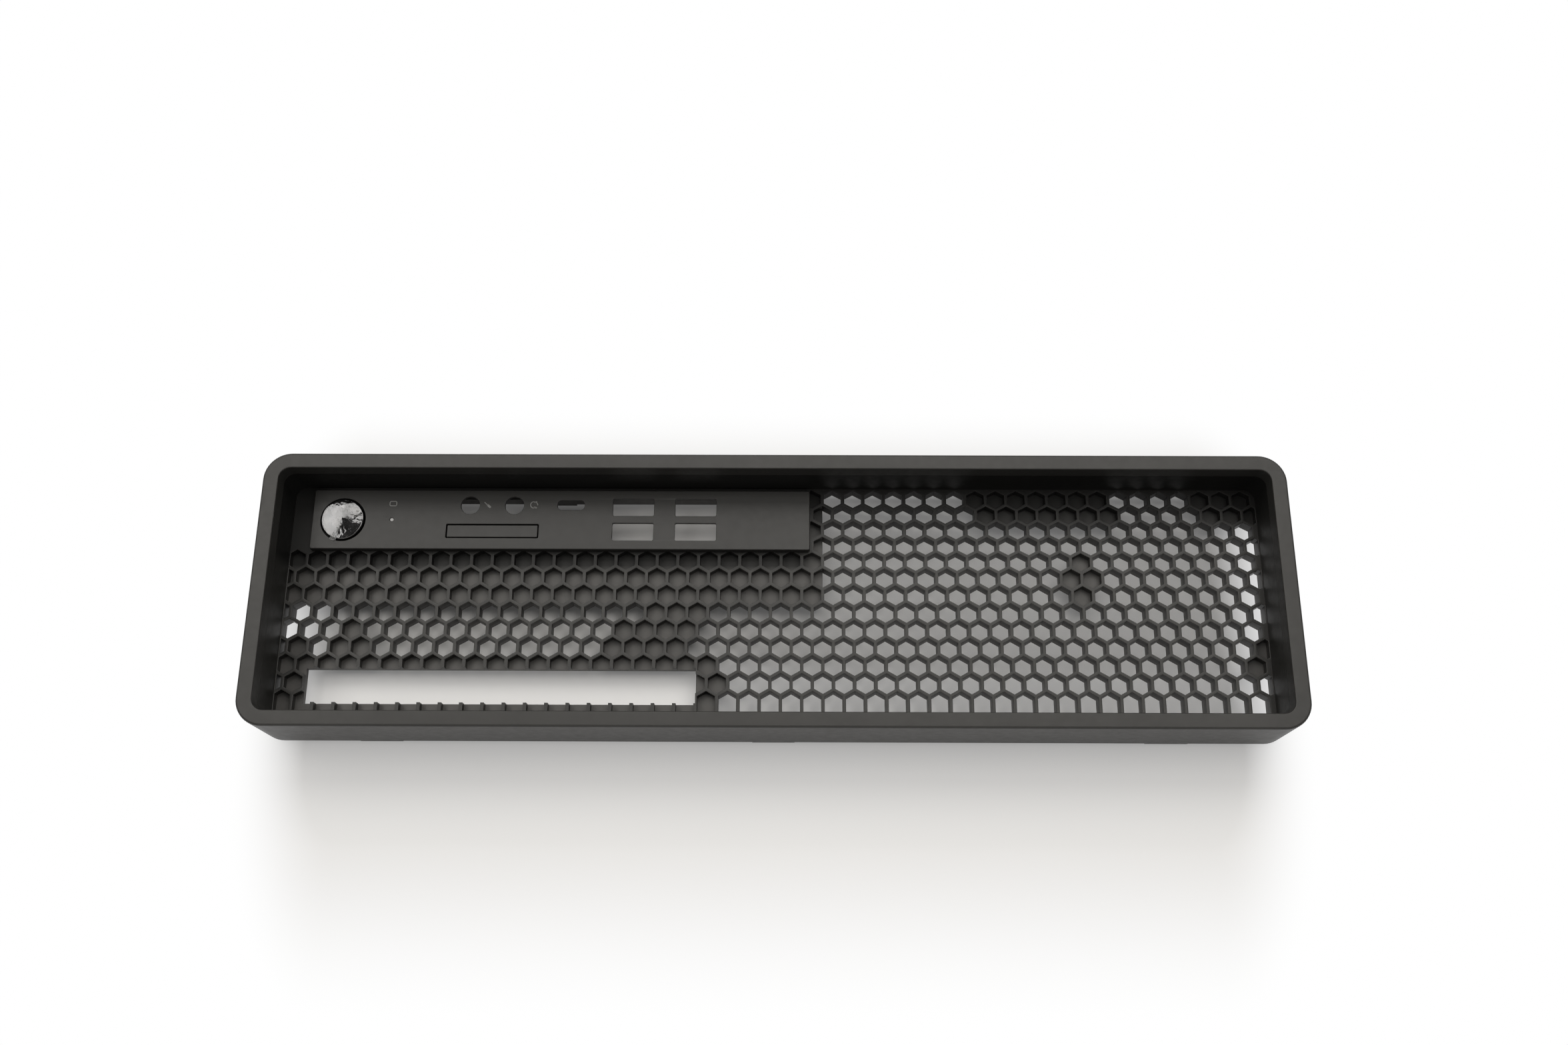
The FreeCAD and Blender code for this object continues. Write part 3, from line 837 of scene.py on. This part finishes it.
for step in (-1, 0, 1):
    x = PANEL_MIDDLE[0] + step * HOOK_STEP
    for side in (-1, 1):
        outer = PANEL_MIDDLE[1] + side * (PANEL_SIZE[1] / 2 - SKIRT_INSET)
        inner = outer - side * SKIRT_WALL
        tongue = block(bm, (x - HOOK_HALF, min(outer, inner), HOOK_END),
                       (x + HOOK_HALF, max(outer, inner), FRAME_BACK + HOOK_ROOT))
        snap_nose(bm, tongue, outer, HOOK_NOSE_TOP, side * HOOK_REACH)
neck_back = EYE_FRONT - SPRING
post_parts = ((POST_HALF, EYE_FRONT, MESH_FRONT + POST_ROOT), (NECK_HALF, neck_back, EYE_FRONT),
              (POST_HALF, neck_back - POST_HEAD, neck_back))
for y in POST_ROWS:
    for half, low, high in post_parts:
        block(bm, (POST_X - half, y - half, low), (POST_X + half, y + half, high))
weld(bm, bm.verts)
dress(make_object(bm, "io_panel_moulding", panel_plastic), ["io_panel"])

# %% [markdown]
# A flush blank closes the card slot. It is the same trick as the panel: one plate, drawn down to a
# wall and out to the flange that stops it behind the panel.

# %% Card slot blank
CARD_GAP = 0.4
CARD_FRONT = PANEL_FRONT - 0.2
CARD_CORNER = 0.2
CARD_FLANGE = 1.0

bm = bmesh.new()
plate_size = [side - 2 * CARD_GAP - 2 * HOLE_ROUND for side in CARD_SIZE]
plate = rounded_plate(bm, CARD, plate_size, CARD_CORNER, CARD_FRONT)
flange_out = HOLE_ROUND + CARD_GAP + CARD_FLANGE
blank_steps = edge_steps(CARD_FRONT, HOLE_ROUND, 1) + [
    (HOLE_ROUND, MESH_FRONT), (flange_out, MESH_FRONT), (flange_out, MESH_FRONT - CARD_FLANGE)]
loop = draw_down(bm, plate.edges[:], blank_steps)
bmesh.ops.edgeloop_fill(bm, edges=loop)
dress(make_object(bm, "card_slot_blank_moulding", panel_plastic),
      ["card_slot_blank"])

# %% [markdown]
# Three small marks are printed in grey ink beside the drive light and the two sockets: a drive, a
# microphone and a headset. A print could be a mask in the panel's material, but as thin raised
# shapes the marks stay sharp at any distance, and they are as simple as real pad prints: a ring, a
# slanted capsule and an arc with two pads.

# %% Ink and its strokes
INK = 0.03
INK_LOW, INK_HIGH = PANEL_FRONT - INK, PANEL_FRONT + INK
LINE = 0.3
BAR_STEPS = 4
ARC_STEPS = 14

mark_ink, tree, shader = new_material("mark_ink")
surface(tree, shader, tone(tree, 1500, (0.17, 0.17, 0.165), (0.23, 0.23, 0.225)),
        gloss=(900, 0.45, 0.60), relief=(4000, 1e-5, 0.3))


def turned_bar(bm, middle, size, radius, angle):
    """A thin printed bar with round ends, turned about its middle."""
    face = rounded_plate(bm, middle, size, radius, INK_LOW, BAR_STEPS)
    top = raise_face(bm, face, 2 * INK, True)
    turn = Matrix.Rotation(math.radians(angle), 3, "Z")
    bmesh.ops.rotate(bm, cent=(*middle, 0), matrix=turn, verts=[*face.verts, *top.verts])


def arc_band(bm, middle, radius, start, sweep):
    """A printed line along an arc, swept from a small upright face."""
    inner, outer = radius - LINE / 2, radius + LINE / 2
    corners = ((inner, INK_LOW), (outer, INK_LOW), (outer, INK_HIGH), (inner, INK_HIGH))
    verts = [bm.verts.new((middle[0] + reach, middle[1], level)) for reach, level in corners]
    section = bm.faces.new(verts)
    turn = Matrix.Rotation(math.radians(start), 3, "Z")
    bmesh.ops.rotate(bm, cent=(*middle, 0), matrix=turn, verts=verts)
    bmesh.ops.spin(bm, geom=[section], cent=(*middle, 0), axis=(0, 0, 1),
                   angle=math.radians(sweep), steps=ARC_STEPS)


print("Ink stands", INK, "mm proud of the panel")

# %% Printed marks
DRIVE_MARK = (-130.3, 34.2)
MICROPHONE_MARK = (-97.9, 33.7)
HEADSET_MARK = (-82.2, 33.9)
SLANT = 48
PAD_SLANT = 12

bm = bmesh.new()
ring_wall(bm, DRIVE_MARK, size=(2.6, 1.9), radius=0.6, thickness=LINE, low=INK_LOW, high=INK_HIGH)
x, y = MICROPHONE_MARK
turned_bar(bm, (x + 0.4, y - 0.35), size=(0.75, 1.6), radius=0.37, angle=SLANT)
turned_bar(bm, (x - 0.75, y + 0.65), size=(0.3, 1.4), radius=0.14, angle=SLANT)
x, y = HEADSET_MARK
arc_band(bm, (x, y), radius=1.15, start=65, sweep=230)
arc_band(bm, (x + 0.3, y - 0.1), radius=1.0, start=-5, sweep=70)
for side in (-1, 1):
    turned_bar(bm, (x + 0.5, y + side), size=(1.1, 0.5), radius=0.2, angle=side * PAD_SLANT)
dress(make_object(bm, "panel_marks", mark_ink))

# %% [markdown]
# ## Power button and drive light
# The button is a plated cap with a shallow cone for a face, so one side of it mirrors the bright
# lights and the other the dark room. Soft dents in the plating and in the film over it break the
# reflections up, as creases do. Turned parts like the cap are a half profile that is spun once
# round, with a small ring near the tip of the cone, which keeps the shading there even.

# %% Plating, film, light and spring steel
bright_plating, tree, shader = new_material("bright_plating")
shader.inputs["Metallic"].default_value = 1.0
surface(tree, shader, tone(tree, 230, (0.08, 0.08, 0.082), (0.16, 0.16, 0.163)),
        gloss=(500, 0.05, 0.08), relief=(330, 3.5e-4, 0.5))

clear_film, tree, shader = new_material("clear_film")
shader.inputs["Transmission Weight"].default_value = 1.0
shader.inputs["IOR"].default_value = 1.3
surface(tree, shader, tone(tree, 300, (0.93, 0.94, 0.95), (0.99, 0.99, 0.99)),
        gloss=(500, 0.005, 0.02), relief=(420, 1.4e-4, 0.3))

clear_plastic, tree, shader = new_material("clear_plastic")
shader.inputs["Transmission Weight"].default_value = 0.1
surface(tree, shader, tone(tree, 900, (0.50, 0.50, 0.50), (0.58, 0.58, 0.58)),
        gloss=(900, 0.25, 0.40), relief=(1200, 1e-5, 0.2))

spring_steel, tree, shader = new_material("spring_steel")
shader.inputs["Metallic"].default_value = 1.0
surface(tree, shader, tone(tree, 300, (0.42, 0.42, 0.43), (0.52, 0.52, 0.52)),
        gloss=(800, 0.28, 0.40), relief=(2000, 1e-5, 0.3))
print("Materials so far:", len(bpy.data.materials))

# %% Button cap
CAP_RADIUS = 7.3
CAP_BACK = MESH_FRONT - 0.1
CAP_TOP = PANEL_FRONT + 1.3
CAP_EDGE = CAP_TOP - 0.35
CAP_ROUND = 0.5
CONE_RADIUS = CAP_RADIUS - CAP_ROUND - 0.2
TIP_RING = 0.3
TURN_STEPS = 64
ROUND_STEPS = 5


def spun(bm, profile, middle, steps):
    """Turns a profile of radius and level pairs once round an upright axis."""
    verts = [bm.verts.new((middle[0] + radius, middle[1], level)) for radius, level in profile]
    edges = [bm.edges.new(pair) for pair in zip(verts, verts[1:])]
    bmesh.ops.spin(bm, geom=verts + edges, cent=(*middle, 0), axis=(0, 0, 1), angle=2 * math.pi,
                   steps=steps, use_merge=True)
    weld(bm, bm.verts)


def round_over(radius, level, across, down):
    """The part of a profile that turns from a face at a level down to a wall."""
    points = []
    for step in range(ROUND_STEPS + 1):
        angle = math.pi / 2 * step / ROUND_STEPS
        points.append((radius - across * (1 - math.sin(angle)),
                       level - down * (1 - math.cos(angle))))
    return points


bm = bmesh.new()
slope = (CAP_TOP - CAP_EDGE) / CONE_RADIUS
cone = [(0, CAP_TOP), (TIP_RING, CAP_TOP - slope * TIP_RING), (CONE_RADIUS, CAP_EDGE)]
cap_edge = round_over(CAP_RADIUS, CAP_EDGE, CAP_ROUND, CAP_ROUND)
spun(bm, cone + cap_edge + [(CAP_RADIUS, CAP_BACK), (0, CAP_BACK)], BUTTON, TURN_STEPS)
dress(make_object(bm, "power_button_cap", bright_plating),
      ["power_button"], "button")

# %% [markdown]
# The thin protective film of the new part is still on the button, with its pull tab at the lower
# left. It is spun like the cap, a hair above it. The tab is a thin block with round corners, tilted
# up so that it clears the panel when the button is pressed, and then turned into its place.

# %% Protective film
FILM = 0.08
FILM_GAP = 0.02
FILM_RADIUS = 6.6
PULL_ROOT, PULL_REACH = 0.5, 1.8
PULL_HALF = 1.1
PULL_ROUND, PULL_STEPS = 0.7, 4
PULL_TURN = math.radians(252)
PULL_LIFT = math.radians(14)

bm = bmesh.new()
film_top = CAP_TOP + FILM_GAP
film_edge = film_top - slope * FILM_RADIUS
near_top = film_top - slope * TIP_RING
underside = [(FILM_RADIUS, film_edge), (TIP_RING, near_top), (0, film_top)]
upside = [(radius, level + FILM) for radius, level in reversed(underside)]
spun(bm, upside + underside, BUTTON, TURN_STEPS)
tab = block(bm, (FILM_RADIUS - PULL_ROOT, -PULL_HALF, 0),
            (FILM_RADIUS + PULL_REACH, PULL_HALF, FILM))
sides = dict.fromkeys(edge for vert in tab for edge in vert.link_edges)
upright = [edge for edge in sides if edge.calc_length() < FILM + NEAR]
round_edges(bm, upright, PULL_ROUND, PULL_STEPS)
tab = [vert for vert in bm.verts if vert.co.z < FRAME_BACK]
bmesh.ops.rotate(bm, cent=(FILM_RADIUS - PULL_ROOT, 0, 0),
                 matrix=Matrix.Rotation(-PULL_LIFT, 3, "Y"), verts=tab)
bmesh.ops.translate(bm, vec=(0, 0, film_edge), verts=tab)
bmesh.ops.rotate(bm, cent=(0, 0, 0), matrix=Matrix.Rotation(PULL_TURN, 3, "Z"), verts=tab)
bmesh.ops.translate(bm, vec=(*BUTTON, 0), verts=tab)
dress(make_object(bm, "button_film_sheet", clear_film), ["button_film"], "button")

# %% [markdown]
# The drive light is a cloudy pin: a spun rod with a low dome in the panel, and behind the panel a
# square foot and a square stem that reach back to the lamp. The plunger behind the button is never
# seen from the front, so its CAD node is shown as it is and only gets a plastic.

# %% Drive light and plunger
PIN_RADIUS = 0.65
PIN_DOME = 0.35
PIN_STEPS = 20
FOOT_HALF, FOOT_BACK = 1.6, MESH_FRONT - 0.8
STEM_HALF, STEM_BACK = 1.0, MESH_FRONT - 5.4

bm = bmesh.new()
dome = round_over(PIN_RADIUS, PANEL_FRONT, PIN_RADIUS, PIN_DOME)
spun(bm, dome + [(PIN_RADIUS, MESH_FRONT), (0, MESH_FRONT)], LIGHT, PIN_STEPS)
for half, low, high in ((FOOT_HALF, FOOT_BACK, MESH_FRONT), (STEM_HALF, STEM_BACK, FOOT_BACK)):
    block(bm, (LIGHT[0] - half, LIGHT[1] - half, low), (LIGHT[0] + half, LIGHT[1] + half, high))
dress(make_object(bm, "drive_light_pin", clear_plastic), ["drive_light_pipe"])
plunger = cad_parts["button_plunger"]
plunger.data.materials.clear()
plunger.data.materials.append(grille_plastic)

# %% [markdown]
# The return spring is a flat steel ring round the button's stem, with two arms that end in eyes on
# the panel's posts. A spring that rode on one body would stay behind when the button is pressed.
# Here its arms are cut into short lengths that step from the ring's level up to the eyes', and the
# spring is tied to no body.

# %% Return spring
SPRING_FRONT = EYE_FRONT - 1.2
RING_SIDE, RING_BAND = 8.3, 2.0
EYE_SIDE, EYE_BAND = 4.4, 1.1
ARM_WIDTH = 1.6
ARM_LAP = 0.3
ARM_SLACK = 0.01
BEND_START, BEND_END = 8.05, 10.65
BEND_STEPS = 6


def draw_end(bm, faces, move):
    """Draws the end of an arm on by one length."""
    faces = bmesh.ops.extrude_discrete_faces(bm, faces=faces)["faces"]
    bmesh.ops.translate(bm, vec=move, verts=faces[0].verts)
    return faces


bm = bmesh.new()
ring_wall(bm, BUTTON, (RING_SIDE, RING_SIDE), 0, RING_BAND, SPRING_FRONT - SPRING, SPRING_FRONT)
bend = Vector((BEND_END - BEND_START, 0, EYE_FRONT - SPRING_FRONT)) / BEND_STEPS
for y in POST_ROWS:
    ring_wall(bm, (POST_X, y), (EYE_SIDE, EYE_SIDE), 0, EYE_BAND, EYE_FRONT - SPRING, EYE_FRONT)
    arm = block(bm, (BUTTON[0] + RING_SIDE / 2 - ARM_LAP, y - ARM_WIDTH / 2,
                     SPRING_FRONT - SPRING + ARM_SLACK),
                (BUTTON[0] + BEND_START, y + ARM_WIDTH / 2, SPRING_FRONT - ARM_SLACK))
    arm_faces = {face for vert in arm for face in vert.link_faces}
    end = [face for face in arm_faces if face.normal.x > 0.9]
    for step in range(BEND_STEPS):
        end = draw_end(bm, end, bend)
    draw_end(bm, end, (ARM_LAP, 0, 0))
spring = make_object(bm, "button_spring_strip", spring_steel)
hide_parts("button_spring")
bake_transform(spring)

# %% [markdown]
# ## Camera
# The photo was taken from above and a little in front, with a wide lens. The place, the turn and
# the focal length come from a fit of the rim and the mesh to the photo. The turn is given by two of
# the camera's own axes, and a cross product gives the third.

# %% Camera at the photo's place
SENSOR = 36.0
PHOTO_WIDTH_PIXELS = 2352
FOCAL_PIXELS = 2239.3
CAMERA_PLACE = Vector((5.96, -137.51, 492.41))
CAMERA_RIGHT = Vector((0.99998, 0.00452, -0.00413))
CAMERA_UP = Vector((-0.00292, 0.94546, 0.32572))

camera_data = bpy.data.cameras.new("camera")
camera_data.sensor_fit = "HORIZONTAL"
camera_data.sensor_width = SENSOR
camera_data.lens = SENSOR * FOCAL_PIXELS / PHOTO_WIDTH_PIXELS
camera = bpy.data.objects.new("camera", camera_data)
bpy.context.scene.collection.objects.link(camera)
turn = Matrix((CAMERA_RIGHT, CAMERA_UP, CAMERA_RIGHT.cross(CAMERA_UP))).transposed().to_4x4()
camera.matrix_world = Matrix.Translation(CAMERA_PLACE * MM) @ turn
bpy.context.scene.camera = camera
print("Lens:", round(camera_data.lens, 2), "mm")

# %% [markdown]
# ## Table, light and background
# The bezel lies on a white table that runs out into a white background. Away from the part the
# table glows white where it is seen, by the camera or in a mirror, and close to the part it is a
# plain pale surface that keeps the shadow. A smooth share, worked out from the place on the table,
# hides where one becomes the other. A small share of the glow stays under the part, and more of it
# to the right and to the front: there it is painted light, standing in for light that falls through
# the mesh onto the table.

# %% Table
TABLE_REACH = 3.0
bm = bmesh.new()
bmesh.ops.create_grid(bm, x_segments=1, y_segments=1, size=TABLE_REACH)
table_mesh = bpy.data.meshes.new("table")
bm.to_mesh(table_mesh)
bm.free()
table = bpy.data.objects.new("table", table_mesh)
bpy.context.scene.collection.objects.link(table)
print("Table is", 2 * TABLE_REACH, "m wide")

# %% Share of white on the table
PAST_ENDS = (0.142, 0.180)
PAST_FRONT = (-0.046, -0.135)
PAST_BACK = (0.030, 0.075)
# Painted light under the part: two places in metres, and the shares of white there
PAINTED_LIGHT_RIGHT = (-0.03, 0.03, 0.03, 0.12)
PAINTED_LIGHT_SLOT = (-0.012, -0.024, 0.03, 0.18)
PAINTED_LIGHT_RIM = (-0.034, -0.046, 0.03, 0.30)


def white_share(tree):
    """Share of plain white: one away from the part, and painted light under it and in its shadow.
    """
    x, y = along(tree, "X"), along(tree, "Y")
    beyond = tree.nodes.new("ShaderNodeCombineXYZ")
    tree.links.new(ramp(tree, math_node(tree, "ABSOLUTE", x), *PAST_ENDS), beyond.inputs["X"])
    tree.links.new(ramp(tree, y, *PAST_FRONT), beyond.inputs["Y"])
    tree.links.new(ramp(tree, y, *PAST_BACK), beyond.inputs["Z"])
    reach = tree.nodes.new("ShaderNodeVectorMath")
    reach.operation = "LENGTH"
    tree.links.new(beyond.outputs["Vector"], reach.inputs[0])
    smooth = tree.nodes.new("ShaderNodeMapRange")
    smooth.interpolation_type = "SMOOTHSTEP"
    tree.links.new(reach.outputs["Value"], smooth.inputs["Value"])
    share = smooth.outputs["Result"]
    for value, places in ((x, PAINTED_LIGHT_RIGHT), (y, PAINTED_LIGHT_SLOT), (y, PAINTED_LIGHT_RIM)):
        share = math_node(tree, "MAXIMUM", share, ramp(tree, value, *places))
    return share


def seen_rays(tree):
    """One for rays from the camera, mirrors and clear pieces, and nought for scattered light."""
    path = tree.nodes.new("ShaderNodeLightPath")
    total = path.outputs["Is Camera Ray"]
    for name in ("Is Glossy Ray", "Is Transmission Ray"):
        total = math_node(tree, "ADD", total, path.outputs[name])
        total.node.use_clamp = True
    return total


table_finish, tree, shader = new_material("table_finish")
shader.inputs["Roughness"].default_value = 0.6
pale = tone(tree, 3, (0.80, 0.795, 0.79), (0.83, 0.825, 0.82))
tree.links.new(pale, shader.inputs["Base Color"])
glow = tree.nodes.new("ShaderNodeEmission")
glow.inputs["Color"].default_value = (1, 1, 1, 1)
glow.inputs["Strength"].default_value = 1.0
mix = tree.nodes.new("ShaderNodeMixShader")
share = math_node(tree, "MULTIPLY", white_share(tree), seen_rays(tree))
tree.links.new(share, mix.inputs["Fac"])
tree.links.new(shader.outputs["BSDF"], mix.inputs[1])
tree.links.new(glow.outputs["Emission"], mix.inputs[2])
tree.links.new(mix.outputs["Shader"], tree.nodes["Material Output"].inputs["Surface"])
table_mesh.materials.append(table_finish)
print("Table finish has", len(tree.nodes), "nodes")

# %% [markdown]
# Four soft lights stand for the room. The strongest is behind the part, so the rim and the mesh
# are lit evenly, the walls that face the camera stay dark and a soft shadow falls to the front. A
# panel on the left gives the button its bright side, a light above opens up the right end, and a
# wide fill in front keeps the front wall from going black.

# %% Lights
LAMP_COLOUR = (1.0, 0.975, 0.93)
ROOM_COLOUR = (1, 0.97, 0.93, 1)
ROOM_STRENGTH = 0.12


def soft_light(name, place, aim, size, power):
    """A soft light that shines at a point, in metres and watts."""
    data = bpy.data.lights.new(name, "AREA")
    data.shape = "RECTANGLE"
    data.size, data.size_y = size
    data.energy = power
    data.color = LAMP_COLOUR
    light = bpy.data.objects.new(name, data)
    bpy.context.scene.collection.objects.link(light)
    turn = (Vector(place) - Vector(aim)).to_track_quat("Z", "Y").to_matrix().to_4x4()
    light.matrix_world = Matrix.Translation(place) @ turn
    print(name, "gives", power, "W")


soft_light("back_softbox", place=(0.22, 0.78, 1.15), aim=(0.22, 0, 0), size=(1.55, 0.70), power=9.2)
soft_light("left_panel", place=(-0.67, 0.30, 0.95), aim=(-0.02, 0.30, 0), size=(0.9, 0.45),
           power=3.9)
soft_light("top_light", place=(0.40, 0.14, 1.25), aim=(0.40, 0, 0), size=(1.1, 0.45), power=3.6)
soft_light("front_fill", place=(0.0, -1.15, 0.95), aim=(0, 0, 0), size=(2.0, 0.7), power=4.0)

world = bpy.data.worlds.new("studio")
bpy.context.scene.world = world
world.use_nodes = True
room = world.node_tree.nodes["Background"]
room.inputs["Color"].default_value = ROOM_COLOUR
room.inputs["Strength"].default_value = ROOM_STRENGTH

# %% [markdown]
# ## Finish
# The view transform is set to Standard.

# %% Finish
bpy.context.scene.view_settings.view_transform = "Standard"
